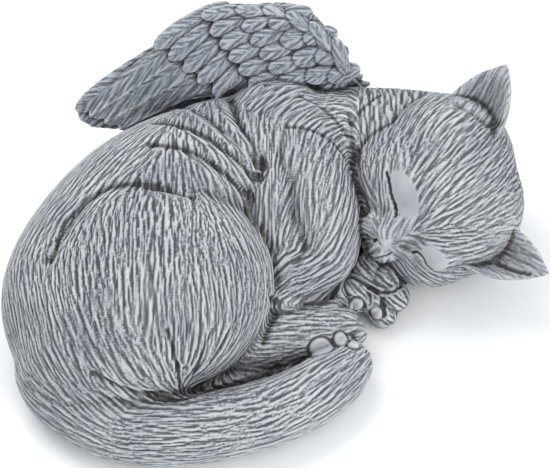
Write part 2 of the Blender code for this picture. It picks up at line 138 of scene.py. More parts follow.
# Fine lines, in the same form and snapped to the skin: the closed eyelids, mouth and nostril, the gaps
# between the toes of the forepaws, and the fold inside the lower ear
FINE_LINES = [
    (1.6, 0.85, [(49.7, 40.7, 65.2), (51, 36.2, 62.1), (51.5, 34.1, 60.3), (52, 32, 57.9), (53.3, 29.7, 55.7),
                (54.2, 27.5, 54), (53.7, 24.2, 53.7)]),
    (1.4, 0.8, [(61.6, 14.6, 39.7), (63.8, 13.5, 41), (65.6, 11.9, 40.9), (66.9, 10.2, 39.3),
                (67.9, 9.3, 36.9), (70.8, 8.6, 34.1)]),
    (1.5, 0.9, [(43.7, 17.1, 33.8), (46.3, 14.1, 36.1), (49.4, 13.5, 38.1), (52.1, 14.1, 38.9)]),
    (1.5, 0.8, [(44.4, 19.3, 42.6), (45.7, 18.4, 44.4), (47, 16.8, 43.5)]),
    (1.6, 1.1, [(34.2, 12.9, 25.9), (38.8, 11.4, 23.4), (43, 9.9, 20.2), (46.7, 8.4, 19.1), (50.8, 8.3, 18.4),
                (55, 9.7, 19.6), (58.4, 13.3, 18.8)]),
    (1.4, 1.0, [(43, 9.9, 20.2), (46.2, 8, 18.8), (48.5, 5.6, 16.6), (49.4, 2.6, 13.8), (49.9, -0.4, 11.6)]),
    (1.2, 0.9, [(38.8, 9.6, 22.7), (41.6, 8.4, 19.8), (43, 6, 17.6), (42.5, 3.2, 15.2)]),
    (1.3, 1.5, [(101.7, 17.6, 28.9), (106.6, 14.5, 29), (111, 12.5, 29.4), (115.4, 10.4, 29.7)]),
]

# The middle of the nose leather, its half width, how far it stands out, and the bridge between the eyes
NOSE = (48.8, 15.8, 44.0)
NOSE_SIZE = 3.2
NOSE_RISE = 0.9
BRIDGE = (61.3, 17.5, 50.4)

# Head frame: where the middle of the skull is, and the directions of the nose, the crown and the raised ear
HEAD_CENTRE = Vector((79.6, 48.0, 35.5))
TO_NOSE = Vector((-0.639, -0.686, 0.347)).normalized()
TO_CROWN = Vector((0.639, -0.223, 0.736)).normalized()
TO_RAISED_EAR = TO_CROWN.cross(TO_NOSE).normalized() * -1.0

# Ears: share of the cup, roundness of the tip, width of the base, depth of the back and reach of the root
EAR_CUP, EAR_ROUNDNESS, EAR_FLARE, EAR_DEPTH, EAR_ROOT = 0.8, 2.6, 1.04, 0.78, 1.5

# The raised ear, then the lower: middle of the base, tip, half width of the base, and where the cup faces
EARS = [
    ((91.4, 73, 71), (106, 89.5, 85.5), (12.5, -10.5, 2), (-0.35, -0.6, 0.7)),
    ((101.5, 20.5, 35), (124.5, 10.5, 29.5), (9.5, 10.5, 4), (-0.1, -0.75, 0.65)),
]

# How blunt a feather's ends are: 1 for an oval, less for a rounder end
FEATHER_BLUNTNESS = 0.8

# Wings, the one that shows first: root, way of the feathers, way across them to the leading edge, the side
# that they face, share of the full size and how strongly the tip bends
WINGS = [
    ((25.0, 97.7, 79.6), (-0.975, -0.137, -0.178), (-0.224, 0.651, 0.725), (0, -0.75, 0.66), 1.0, 1.0),
    ((34.0, 111.0, 50.0), (-0.957, -0.240, -0.170), (-0.100, -0.350, 0.930), (0, 0.9, 0.3), 0.84, 2.2),
]

# A wing's face: its height at the middle, its fall toward the edges and the tip, and where its middle is
WING_RISE, WING_FALL, WING_DROOP, WING_MIDDLE = 3.0, 9.0, 11.0, 0.25

# The wing's outline: place along the span, and its lower and upper edges, as shares of span and chord
WING_OUTLINE = [
    (-0.055, -0.20, -0.02), (-0.02, -0.25, 0.28), (0.03, -0.25, 0.52), (0.11, -0.23, 0.67),
    (0.26, -0.19, 0.73), (0.42, -0.11, 0.71), (0.56, -0.09, 0.57), (0.69, -0.17, 0.41),
    (0.81, -0.21, 0.24), (0.90, -0.12, 0.12), (0.935, -0.02, 0.06),
]

# Feather rows from the tip back to the root: how many, place of the first and last tip, length and width as
# shares of span, chord and full width, and turn of the first and last feather in degrees
FEATHER_ROWS = [
    (4, (0.94, 0.07), (0.80, -0.20), 0.48, 1.10, -20, -8),
    (5, (0.61, 0.52), (0.44, -0.09), 0.32, 0.92, -17, -36),
    (5, (0.40, 0.53), (0.31, -0.06), 0.20, 0.80, -12, -8),
    (5, (0.285, 0.50), (0.205, -0.10), 0.17, 0.76, -8, -4),
    (4, (0.19, 0.47), (0.11, -0.12), 0.17, 0.90, -6, -4),
    (3, (0.09, 0.28), (0.04, -0.15), 0.14, 0.80, 4, 0),
]

# Feathers of the leading edge, from the outermost one round the bend to the shoulder
EDGE_FEATHERS = 6

# The steps, in degrees, by which the ends of a limb are rounded over
END_LIFTS = (20, 40, 60, 80)

CHANCE = np.random.default_rng(11)
scene = bpy.context.scene
show = scene.collection.objects.link


def smooth_path(rows, steps=8):
    """Points along a smooth curve through the rows, each with as many numbers as a row has."""
    rows = np.array(rows, dtype=float)
    padded = np.vstack([2 * rows[0] - rows[1], rows, 2 * rows[-1] - rows[-2]])
    points = []
    for i in range(1, len(padded) - 2):
        a, b, c, d = padded[i - 1:i + 3]
        for t in np.linspace(0, 1, steps, endpoint=False):
            points.append(0.5 * (2 * b + (c - a) * t + (2 * a - 5 * b + 4 * c - d) * t ** 2
                                 + (3 * b - a - 3 * c + d) * t ** 3))
    points.append(rows[-1])
    return np.array(points)


def add_ball(clay, centre, size, axes=None):
    """An ellipsoid at centre with half sizes along three axes."""
    turn = Matrix(axes).transposed().to_4x4() if axes else Matrix.Identity(4)
    place = Matrix.Translation(Vector(centre)) @ turn @ Matrix.Diagonal((*size, 1.0))
    bmesh.ops.create_icosphere(clay, subdivisions=4, radius=1.0, matrix=place)


def loft(clay, rings):
    """Skin over rings of points with as many points each, closed at both ends."""
    rings = [[clay.verts.new(p) for p in ring] for ring in rings]
    around = len(rings[0])
    for lower, upper in zip(rings, rings[1:]):
        for k in range(around):
            clay.faces.new((lower[k], lower[(k + 1) % around], upper[(k + 1) % around], upper[k]))
    clay.faces.new(list(reversed(rings[0])))
    clay.faces.new(rings[-1])


def add_limb(clay, rows, sides=28):
    """A round limb along a smooth curve through rows of x, y, z and radius, with round ends."""
    path = smooth_path(rows)
    places = [Vector(p[:3]) for p in path]
    radii = [float(p[3]) for p in path]
    ends = [places[0], *places, places[-1]]
    tangents = [(after - before).normalized() for before, after in zip(ends, ends[2:])]

    def end(at, lift):
        angle = math.radians(lift)
        tip = places[at] + tangents[at] * radii[at] * math.sin(angle)
        return tip, tangents[at], radii[at] * math.cos(angle)

    stations = [end(0, -lift) for lift in reversed(END_LIFTS)]
    stations += list(zip(places, tangents, radii))
    stations += [end(-1, lift) for lift in END_LIFTS]
    side = tangents[0].orthogonal().normalized()
    rings = []
    for place, tangent, radius in stations:
        side = (side - tangent * side.dot(tangent)).normalized()
        other = tangent.cross(side)
        ring = []
        for k in range(sides):
            angle = 2 * math.pi * k / sides
            ring.append(place + (side * math.cos(angle) + other * math.sin(angle)) * radius)
        rings.append(ring)
    loft(clay, rings)


def add_shell(clay, surface, thickness, columns, rows):
    """A closed curved shell: surface(s, t) gives its front for s and t from 0 to 1."""
    front = []
    for i in range(rows + 1):
        front.append([Vector(surface(i / rows, k / columns)) for k in range(columns + 1)])
    normals = []
    for i in range(rows + 1):
        line = []
        for k in range(columns + 1):
            down = front[min(i + 1, rows)][k] - front[max(i - 1, 0)][k]
            over = front[i][min(k + 1, columns)] - front[i][max(k - 1, 0)]
            line.append(over.cross(down).normalized())
        normals.append(line)
    near = [[clay.verts.new(p) for p in line] for line in front]
    far = [[clay.verts.new(p - n * thickness) for p, n in zip(line, lean)]
           for line, lean in zip(front, normals)]
    for i in range(rows):
        for k in range(columns):
            clay.faces.new((near[i][k], near[i][k + 1], near[i + 1][k + 1], near[i + 1][k]))
            clay.faces.new((far[i][k], far[i + 1][k], far[i + 1][k + 1], far[i][k + 1]))
    for i in range(rows):
        clay.faces.new((near[i][0], near[i + 1][0], far[i + 1][0], far[i][0]))
        clay.faces.new((near[i][columns], far[i][columns], far[i + 1][columns], near[i + 1][columns]))
    for k in range(columns):
        clay.faces.new((near[0][k], far[0][k], far[0][k + 1], near[0][k + 1]))
        clay.faces.new((near[rows][k], near[rows][k + 1], far[rows][k + 1], far[rows][k]))


def on_head(nose, crown, ear):
    """A place given from the middle of the skull: toward the nose, the crown and the raised ear."""
    return HEAD_CENTRE + TO_NOSE * nose + TO_CROWN * crown + TO_RAISED_EAR * ear


class WingFrame:
    """Places on a wing, given along its feathers, across them and off its face."""

    def __init__(self, root, along, across, faces, size, bend):
        self.root = Vector(root)
        self.along = Vector(along).normalized()
        across = Vector(across)
        self.across = (across - self.along * across.dot(self.along)).normalized()
        self.off = self.along.cross(self.across).normalized()
        if self.off.dot(Vector(faces)) < 0:
            self.off = -self.off
        self.span = WING_SPAN / U * size
        self.chord = WING_CHORD / U * size
        self.bend = bend

    def place(self, along, across, off):
        return self.root + self.along * along + self.across * across + self.off * off

    def dome(self, along, across):
        """How far the face stands off its own plane: it is domed and droops toward the tip."""
        droop = WING_DROOP * self.bend * (along / self.span - WING_MIDDLE) ** 2
        return WING_RISE - droop - WING_FALL * (across / self.chord - WING_MIDDLE) ** 2


def body_clay():
    """Everything that flows together: back, neck, thigh, belly, foreleg, foot and tail."""
    clay = bmesh.new()
    add_limb(clay, SPINE)
    add_ball(clay, THIGH_CENTRE, THIGH_SIZE, THIGH_AXES)
    add_ball(clay, RUMP_CENTRE, RUMP_SIZE)
    add_limb(clay, TAIL)
    for limb in (NEAR_FORELEG, FAR_FORELEG, HIND_FOOT, BELLY, LAP, LAP_FRONT, ARMPIT_FILL, RUFF,
                 TAIL_HOLLOW):
        add_limb(clay, limb)
    return clay


HALF_HEAD = HEAD_WIDTH / U / 2
HEAD_AXES = (TO_NOSE, TO_CROWN, TO_RAISED_EAR)

# Skull and cheeks, then muzzle, chin, whisker pads and brows: place and half sizes in half widths of the head
SKULL_SHARES = [
    ((0, 0, 0), (1.05, 0.96, 1.0)),
    ((-0.20, 0.04, 0.47), (0.94, 0.94, 0.94)),
    ((0.32, -0.24, 0.50), (0.78, 0.78, 0.78)),
    ((0.30, -0.22, -0.22), (0.76, 0.76, 0.76)),
]
FACE_SHARES = [
    ((0.86, -0.28, 0), (0.38, 0.34, 0.42)),
    ((0.98, -0.55, 0), (0.20, 0.20, 0.20)),
    ((1.08, -0.36, 0.15), (0.21, 0.21, 0.21)),
    ((1.08, -0.36, -0.15), (0.21, 0.21, 0.21)),
    ((0.66, 0.10, 0.42), (0.36, 0.36, 0.36)),
    ((0.66, 0.10, -0.42), (0.36, 0.36, 0.36)),
]
NOSE_BRIDGE = [(0.50, 0.16, 0.46), (0.88, -0.02, 0.31), (1.14, -0.16, 0.16)]


def head_masses(shares):
    return [(on_head(*(HALF_HEAD * p for p in place)), tuple(HALF_HEAD * s for s in size))
            for place, size in shares]


def add_balls(clay, masses, axes=None):
    for centre, size in masses:
        add_ball(clay, centre, size, axes)


def ear_frame(base, tip, base_side, facing):
    up = (Vector(tip) - Vector(base)).normalized()
    side = Vector(base_side)
    half_width = side.length
    side = (side - up * side.dot(up)).normalized()
    facing = Vector(facing)
    facing = (facing - up * facing.dot(up) - side * facing.dot(side)).normalized()
    return up, side, facing, half_width


def ear_clay(clay, base, tip, base_side, facing):
    """A cupped ear from the middle of its base to its tip; base_side is the half width of its base."""
    up, side, facing, half_width = ear_frame(base, tip, base_side, facing)
    tip = Vector(tip)
    root = tip - up * (EAR_HEIGHT / U) * EAR_ROOT
    steps = 12
    rings = []
    for s in np.linspace(0, 1, 14):
        width = half_width * (EAR_FLARE - s ** EAR_ROUNDNESS)
        back = EAR_DEPTH * width
        hollow = max(back - EAR_THICKNESS / U, 0)
        middle = root + (tip - root) * s
        ring = []
        for k in range(steps):
            angle = math.pi * k / steps
            ring.append(middle + side * width * math.cos(angle) - facing * back * math.sin(angle))
        for k in range(steps):
            across = 2 * k / steps - 1
            dip = max(1 - (across / EAR_CUP) ** 2, 0)
            ring.append(middle + side * width * across - facing * hollow * dip)
        rings.append(ring)
    loft(clay, rings)


def wing_feathers(wing):
    """Every feather of a wing, tip rows first: length, width, middle, and the ways along, across and out."""
    span = wing.span
    chord = wing.chord
    width = FEATHER_WIDTH / U * chord / (WING_CHORD / U)
    feathers = []
    for layer, (count, first, last, length, broad, turn_first, turn_last) in enumerate(FEATHER_ROWS):
        for k in range(count):
            share = k / (count - 1)
            tip = (span * (first[0] + (last[0] - first[0]) * share),
                   chord * (first[1] + (last[1] - first[1]) * share))
            turn = math.radians(turn_first + (turn_last - turn_first) * share)
            off = wing.dome(*tip) - 0.4 + 0.12 * layer
            feathers.append((tip, span * length, broad * width, turn, off, math.radians(6)))
    for k in range(EDGE_FEATHERS):
        share = k / (EDGE_FEATHERS - 1)
        tip = (span * (0.42 - 0.45 * share ** 0.8), chord * (0.72 - 0.50 * share ** 2.4))
        turn = math.radians(4 + 81 * share ** 1.1)
        length = span * (0.19 - 0.05 * share)
        feathers.append((tip, length, 0.62 * width, turn, wing.dome(*tip) + 0.8, math.radians(3)))
    return [(length, width, *feather_frame(wing, tip, length, turn, off, lift))
            for tip, length, width, turn, off, lift in feathers]


def feather_frame(wing, tip, length, turn, off, lift):
    heading = wing.along * math.cos(turn) + wing.across * math.sin(turn)
    heading = (heading + wing.off * math.tan(lift)).normalized()
    sideways = wing.off.cross(heading).normalized()
    outward = heading.cross(sideways).normalized()
    return wing.place(tip[0], tip[1], off) - heading * length / 2, heading, sideways, outward


def wing_clay(clay, wing):
    span = wing.span
    chord = wing.chord
    outline = smooth_path(WING_OUTLINE, 4) * np.array([span, chord, chord])

    def face(s, t):
        along, low, top = outline[int(round(s * (len(outline) - 1)))]
        across = low + (top - low) * t
        rim = (2 * t - 1) ** 6 * 2.0
        return wing.place(along, across, wing.dome(along, across) - 2.0 - rim)

    behind = wing.across.cross(wing.along).dot(wing.off)
    add_shell(clay, face, 0.24 * chord * behind, 12, len(outline) - 1)
    add_ball(clay, wing.place(0.02 * span, -0.12 * chord, -10), (11, 11, 11))
    for length, width, centre, heading, sideways, outward in wing_feathers(wing):
        leaf = bmesh.ops.create_icosphere(clay, subdivisions=4, radius=1.0)["verts"]
        for vert in leaf:
            along, over, rise = vert.co
            along = math.copysign(abs(along) ** FEATHER_BLUNTNESS, along)
            vert.co = (centre + heading * along * length / 2 + sideways * over * width / 2
                       + outward * rise * FEATHER_THICKNESS / U / 2)


# Backs of the two forepaws, their meeting and the ball of the hind foot: centre and half sizes
PAW_MASSES = [
    ((32, 13, 15), (12, 10, 10)),
    ((41, 22, 19), (11, 10, 9)),
    ((46, 14, 12), (9, 10, 9)),
    ((28, -10, 15), (10, 10, 11)),
]

# Toes of the forepaws, then toes and pad of the hind foot, with half sizes as shares of a toe
TOE_SHARES = [
    ((37, 10, 13), (1.15, 1.15, 1.15)),
    ((44, 8, 12), (1.0, 1.0, 1.0)),
    ((50, 18, 18), (1.25, 1.25, 1.25)),
    ((54, 11, 12), (1.25, 1.25, 1.25)),
    ((49, 5, 7), (1.15, 1.15, 1.15)),
    ((31, -7, 17), (1.0, 1.0, 1.0)),
    ((35, -12, 14), (1.0, 1.0, 1.0)),
    ((20, -22, 16), (0.95, 0.5, 0.8)),
]
TOE_MASSES = [(centre, tuple(TOE_SIZE / U / 2 * share for share in shares)) for centre, shares in TOE_SHARES]


def fuse(source, grain, softening):
    """Fuse overlapping clay into one skin and soften its joins."""
    mesh = bpy.data.meshes.new("clay")
    source.to_mesh(mesh)
    source.free()
    clay = bpy.data.objects.new("clay", mesh)
    show(clay)
    remesh = clay.modifiers.new("Fuse", "REMESH")
    remesh.mode = "VOXEL"
    remesh.voxel_size = grain
    soften = clay.modifiers.new("Soften", "SMOOTH")
    soften.factor = 0.5
    soften.iterations = softening
    shape = bpy.data.meshes.new_from_object(clay.evaluated_get(bpy.context.evaluated_depsgraph_get()))
    bpy.data.objects.remove(clay, do_unlink=True)
    bpy.data.meshes.remove(mesh)
    return shape


THIGH_AXES = (Vector((math.cos(THIGH_TURN), math.sin(THIGH_TURN), 0)),
              Vector((-math.sin(THIGH_TURN), math.cos(THIGH_TURN), 0)), Vector((0, 0, 1)))
TAIL = [(*p, TAIL_THICKNESS / U / 2 * taper) for p, taper in zip(TAIL_PATH, TAIL_TAPER)]
WING_FRAMES = [WingFrame(*wing) for wing in WINGS]


def whole_clay():
    """All masses of the statue as one bundle of overlapping clay, with the soft joins already softened."""
    body = fuse(body_clay(), CLAY_GRAIN, BODY_SOFTENING)
    dome = bmesh.new()
    add_balls(dome, head_masses(SKULL_SHARES), HEAD_AXES)
    skull = fuse(dome, CLAY_GRAIN, SKULL_SOFTENING)
    soft = bmesh.new()
    soft.from_mesh(skull)
    bpy.data.meshes.remove(skull)
    add_balls(soft, head_masses(FACE_SHARES), HEAD_AXES)
    add_limb(soft, [(*on_head(nose * HALF_HEAD, crown * HALF_HEAD, 0), radius * HALF_HEAD)
                    for nose, crown, radius in NOSE_BRIDGE])
    add_balls(soft, PAW_MASSES)
    soft_parts = fuse(soft, CLAY_GRAIN, FACE_SOFTENING)
    clay = bmesh.new()
    clay.from_mesh(body)
    clay.from_mesh(soft_parts)
    bpy.data.meshes.remove(body)
    bpy.data.meshes.remove(soft_parts)
    for ear in EARS:
        ear_clay(clay, *ear)
    for wing in WING_FRAMES:
        wing_clay(clay, wing)
    add_balls(clay, TOE_MASSES)
    return clay


# Regions of the surface: the name of the piece, how deep its fur gouges are and how dark its wash is
BACK, THIGH, HIND_TAIL, FORELEG, PAWS, FOOT, HEAD, EAR_UP, EAR_DOWN, WING_NEAR, WING_FAR = range(11)

REGIONS = [
    ("coat_back", 0.75, 1.0),
    ("coat_thigh", 0.85, 1.0),
    ("tail", 0.85, 0.8),
    ("near_foreleg", 0.65, 1.0),
    ("forepaws", 0.5, 1.35),
    ("hind_foot", 0.5, 1.0),
    ("head", 0.6, 0.96),
    ("raised_ear", 0.45, 0.6),
    ("lower_ear", 0.45, 0.6),
    ("near_wing", 0.28, 1.15),
    ("hidden_wing", 0.28, 1.0),
]
NAMES, FUR_DEPTH, TONE = zip(*REGIONS)

# The back is parted for the export at these lines, in x and y: the nape, and the side away from the face
NAPE, OUTER_BACK = 11, 12
NAMES += ("coat_nape", "coat_outer_back")
NAPE_LINE = 6.0
OUTER_LINE = 56.0

# How the gouges are drawn out along the fur: step, steps either way, evening of their seeds and stray
STREAK_STEP, STREAK_REACH, STREAK_WIDTH, STREAK_STRAY = 0.8, 7, 1, 0.05

# Feathers: turn of the barbs, half width of the shaft, width of a seam, start of the pale rim, and how high a
# long feather's lower edge stands off the next
BARB_TURN = math.radians(24)
SHAFT, SEAM_WIDTH, RIM_START, LONG_FEATHER_STEP = 0.6, 0.07, 0.72, 0.6

# How open a place is, which sets the painted shade of closed places: number of rays, their reach, their start
# off the skin and the most that a hit counts
SKY_RAYS, SKY_REACH, SKY_START, SKY_HIT = 16, 45.0, 0.6, 0.6

# Where the fur of the back, the thigh and the forepaws heads
ARMPIT = np.array((2.0, 16.0, 42.0))
THIGH_FOOT = np.array((-41.0, -57.0, 27.0))
DOWNWARD = np.array((0.0, -0.766, -0.643))
PAWS_WAY = np.array((0.8, -0.5, -0.4))

# Start and width, along x or y, of the places where the fur changes its way
RUMP_CHANGE = (18.0, 72.0)
SHOULDER_CHANGE = (6.0, 14.0)
FAR_SIDE_CHANGE = (84.0, 12.0)
NAPE_CHANGE = (30.0, 8.0)
ARM_CHANGE = (58.0, 20.0)

# How strongly the fur hangs, gathers at the thigh's foot, turns out on the arm, fans on the ears and slants
# off the bridge of the nose
COAT_HANG, THIGH_PULL, THIGH_EASE, ARM_TURN, SHOULDER_TURN = 0.7, 45, 12, 0.6, 1.8
EAR_FAN, BRIDGE_SLANT = 0.35, 1.1

# How far a wing's region reaches past its ends and top, its lower edge, its back and its face
WING_MARGIN, WING_BELOW, WING_BEHIND, WING_BEFORE = 3.0, 2.0, 13.0, 5.0

# Borders: how far wings and ears reach over their neighbours, how softly the fur changes its way at a border,
# the radius of the cup's floor that counts as ear, and how often the borders are evened
WING_REACH, EAR_REACH, FLOW_BLEND, CUP_FLOOR = 0.3, 0.5, 2.5, 4.6
SETTLING = 24

# Muzzle: how far from the nose the strokes are fainter, and by how much in depth and in wash
MUZZLE_REACH, MUZZLE_DEPTH, MUZZLE_WASH = 13.0, 0.65, 0.35

# Gouges: the streak height where they begin, the drop to their floor, and the depth of the feather seams
GOUGE_START, GOUGE_DROP, SEAM_DEPTH = 0.8, 1.9, 0.35

# How often the surface is evened to find the folds and the crests; the folds and the fine hollows get painted
# shade
FOLD_EVENING, CREST_EVENING = 60, 10

# The dark wash on smooth places, on feathers, between barbs, in seams, and what rims have less of it; then
# the painted shade in the ears' closed hollows, with the openness where that begins and the drop to its full
# strength
SMOOTH_WASH, FEATHER_WASH, BARB_WASH, SEAM_WASH, RIM_WASH, EAR_PAINTED_SHADE = 0.16, 0.08, 0.66, 0.35, 0.14, 0.45
EAR_SHADE = (0.9, 0.3)


def read(items, name, width=3, kind=np.float32):
    """One property of all vertices, edges, loops or faces as an array."""
    data = np.empty(len(items) * width, dtype=kind)
    items.foreach_get(name, data)
    return data.reshape(-1, width) if width > 1 else data


def unit(vectors):
    return vectors / np.maximum(np.linalg.norm(vectors, axis=-1, keepdims=True), 1e-9)


def along_skin(ways, normals):
    """Directions turned into the surface."""
    return unit(ways - normals * np.sum(ways * normals, axis=1, keepdims=True))


def rise(values, change):
    """0 up to the start of a change, 1 past its width."""
    start, width = change
    return np.clip((values - start) / width, 0, 1)


def in_axes(points, origin, axes, kind=float):
    """Points seen from an origin along three axes."""
    return (points - np.array(origin, dtype=kind)) @ np.array(axes, dtype=kind).T


def limb_field(points, rows):
    """Distance to the skin of a limb, and the direction the limb runs in at the nearest place."""
    path = smooth_path(rows)
    runs = unit(np.gradient(path[:, :3], axis=0))
    best = np.full(len(points), 1e6, dtype=np.float32)
    run = np.zeros_like(points)
    for place, direction in zip(path, runs):
        away = np.linalg.norm(points - place[:3].astype(np.float32), axis=1) - place[3]
        near = away < best
        best[near] = away[near]
        run[near] = direction
    return best, run


def ball_distance(points, centre, size, axes=None):
    local = points - np.array(centre, dtype=np.float32)
    if axes is not None:
        local = in_axes(points, centre, axes, np.float32)
    return (np.linalg.norm(local / np.array(size, dtype=np.float32), axis=1) - 1) * min(size)


def masses_distance(points, masses, axes=None):
    return np.min([ball_distance(points, centre, size, axes) for centre, size in masses], axis=0)


def wing_distance(points, wing):
    """Rough distance to the wing's slab and feathers."""
    local = in_axes(points, wing.root, (wing.along, wing.across, wing.off), np.float32)
    rows = np.array(WING_OUTLINE) * np.array([wing.span, wing.chord, wing.chord])
    low = np.interp(local[:, 0], rows[:, 0], rows[:, 1]) - WING_BELOW
    top = np.interp(local[:, 0], rows[:, 0], rows[:, 2]) + WING_MARGIN
    along = np.maximum(rows[0, 0] - WING_MARGIN - local[:, 0], local[:, 0] - rows[-1, 0] - WING_MARGIN)
    across = np.maximum(low - local[:, 1], local[:, 1] - top)
    face = wing.dome(local[:, 0], local[:, 1])
    off = np.maximum(face - WING_BEHIND - local[:, 2], local[:, 2] - face - WING_BEFORE)
    return np.maximum(np.maximum(along, across), off)


def survey(points):
    """Distance of every point to each region's mass, and the way the fur lies there."""
    count = len(points)
    away = np.full((len(REGIONS), count), 1e6, dtype=np.float32)
    flow = np.zeros((len(REGIONS), count, 3), dtype=np.float32)
    away[BACK], tailward = limb_field(points, SPINE)
    to_armpit = unit(ARMPIT - points)
    share = rise(-points[:, :1], RUMP_CHANGE)
    front = rise(points[:, :1], SHOULDER_CHANGE)
    behind = rise(points[:, 1:2], FAR_SIDE_CHANGE)
    along_spine = np.maximum(np.maximum(share * share * (3 - 2 * share), front), behind)
    flow[BACK] = unit(tailward * along_spine + unit(to_armpit + COAT_HANG * DOWNWARD) * (1 - along_spine))
    away[THIGH] = np.minimum(ball_distance(points, THIGH_CENTRE, THIGH_SIZE, THIGH_AXES),
                             ball_distance(points, RUMP_CENTRE, RUMP_SIZE))
    to_foot = THIGH_FOOT - points
    reach = np.linalg.norm(to_foot, axis=1, keepdims=True)
    flow[THIGH] = unit(DOWNWARD + to_foot * THIGH_PULL / (reach * (reach + THIGH_EASE)))
    away[HIND_TAIL], flow[HIND_TAIL] = limb_field(points, TAIL)
    away[FORELEG], along_arm = limb_field(points, NEAR_FORELEG)
    outward = ARM_TURN + SHOULDER_TURN * rise(points[:, 1:2], ARM_CHANGE)
    flow[FORELEG] = unit(along_arm + outward * np.array((-1.0, 0.0, 0.0)))
    far_leg = limb_field(points, FAR_FORELEG)[0]
    away[PAWS] = np.minimum(far_leg, masses_distance(points, PAW_MASSES[:3] + TOE_MASSES[:5]))
    flow[PAWS] = unit(PAWS_WAY)
    foot, flow[FOOT] = limb_field(points, HIND_FOOT)
    away[FOOT] = np.minimum(foot, masses_distance(points, PAW_MASSES[3:] + TOE_MASSES[5:]))
    away[HEAD] = masses_distance(points, head_masses(SKULL_SHARES + FACE_SHARES), HEAD_AXES)
    bridge = np.array(BRIDGE) - np.array(NOSE)
    from_nose = points - np.array(NOSE)
    share = from_nose @ bridge / (bridge @ bridge)
    aside = np.linalg.norm(from_nose - np.clip(share, 0, 1)[:, None] * bridge, axis=1)
    aside /= np.linalg.norm(bridge)
    flow[HEAD] = unit(from_nose - np.clip(share - BRIDGE_SLANT * aside, 0, 1)[:, None] * bridge)
    nape = rise(points[:, :1], NAPE_CHANGE)
    flow[BACK] = unit(flow[BACK] * (1 - nape) + flow[HEAD] * nape)
    for region, (base, tip, base_side, facing) in zip((EAR_UP, EAR_DOWN), EARS):
        up, side, front_way, half_width = ear_frame(base, tip, base_side, facing)
        local = in_axes(points, tip, (up, side, front_way))
        drop = -local[:, 0]
        height = EAR_HEIGHT / U
        taper = np.clip(1 - drop / (EAR_ROOT * height), 0, 1) ** EAR_ROUNDNESS
        width = half_width * (EAR_FLARE - taper) + 1.0
        spread = np.maximum(np.abs(local[:, 1]) - width, np.abs(local[:, 2] + 0.3 * width) - 0.75 * width)
        away[region] = np.maximum(np.maximum(spread, drop - 1.05 * height), -drop - 1.5)
        flow[region] = np.array(up) + EAR_FAN * local[:, 1:2] / half_width * np.array(side)
    for region, wing in zip((WING_NEAR, WING_FAR), WING_FRAMES):
        away[region] = wing_distance(points, wing)
    return away, flow


def whole_skin():
    """The casting's smooth skin, cut flat underneath."""
    mesh = fuse(whole_clay(), FINISH_GRAIN, 2)
    shape = bmesh.new()
    shape.from_mesh(mesh)
    cut = bmesh.ops.bisect_plane(shape, geom=shape.verts[:] + shape.edges[:] + shape.faces[:], dist=1e-4,
                                 plane_co=(0, 0, 0), plane_no=(0, 0, 1), clear_inner=True)
    rim = [edge for edge in cut["geom_cut"] if isinstance(edge, bmesh.types.BMEdge)]
    bmesh.ops.holes_fill(shape, edges=rim)
    shape.faces.ensure_lookup_table()
    shape.verts.ensure_lookup_table()
    seen = np.zeros(len(shape.verts), dtype=bool)
    skins = []
    for start in shape.verts:
        if seen[start.index]:
            continue
        seen[start.index] = True
        skin = [start]
        for vert in skin:
            for edge in vert.link_edges:
                other = edge.other_vert(vert)
                if not seen[other.index]:
                    seen[other.index] = True
                    skin.append(other)
        skins.append(skin)
    skins.sort(key=len)
    for skin in skins[:-1]:
        bmesh.ops.delete(shape, geom=skin, context="VERTS")
    shape.to_mesh(mesh)
    shape.free()
    return mesh


def path_distance(points, rows, steps=12):
    """Distance to the line through the rows, measured only near the line."""
    path = smooth_path(rows, steps)[:, :3].astype(np.float32)
    low = path.min(axis=0) - 8
    high = path.max(axis=0) + 8
    inside = np.where(np.all((points > low) & (points < high), axis=1))[0]
    away = np.full(len(points), 99.0, dtype=np.float32)
    for place in path:
        away[inside] = np.minimum(away[inside], np.linalg.norm(points[inside] - place, axis=1))
    return away


class Skin:
    """The surface as arrays: where each point is, its normal and its neighbours."""

    def __init__(self, mesh):
        self.mesh = mesh
        self.places = read(mesh.vertices, "co")
        self.edges = read(mesh.edges, "vertices", 2, np.int32)
        self.links = np.bincount(self.edges.ravel(), minlength=len(self.places)).astype(np.float32)
        self.renew()

    def renew(self):
        self.mesh.vertices.foreach_set("co", self.places.astype(np.float32).ravel())
        self.mesh.update()
        self.normals = read(self.mesh.vertices, "normal")

    def smooth(self, values, times):
        first = self.edges[:, 0]
        second = self.edges[:, 1]
        count = len(self.places)
        for _ in range(times):
            total = (np.bincount(first, values[second], count) + np.bincount(second, values[first], count))
            values = 0.5 * values + 0.5 * total / self.links
        return values

    def move(self, heights):
        """Raise or sink each point along its normal; the flat underside stays where it is."""
        free = self.places[:, 2] > 0.05
        self.places[free] += self.normals[free] * heights[free, None]
        self.places[:, 2] = np.maximum(self.places[:, 2], 0)
        self.renew()

    def press(self, depth, half_width, rows, steps=12):
        """Press a groove into the skin along the line through the rows."""
        away = path_distance(self.places, rows, steps)
        self.move(-depth * np.exp(-(away / half_width) ** 2))


def tree_of(points):
    """A lookup for the nearest of many points."""
    lookup = KDTree(len(points))
    for i, place in enumerate(points.tolist()):
        lookup.insert(place, i)
    lookup.balance()
    return lookup


def nearest(lookup, points):
    find = lookup.find
    return np.array([find(place)[1] for place in points.tolist()])


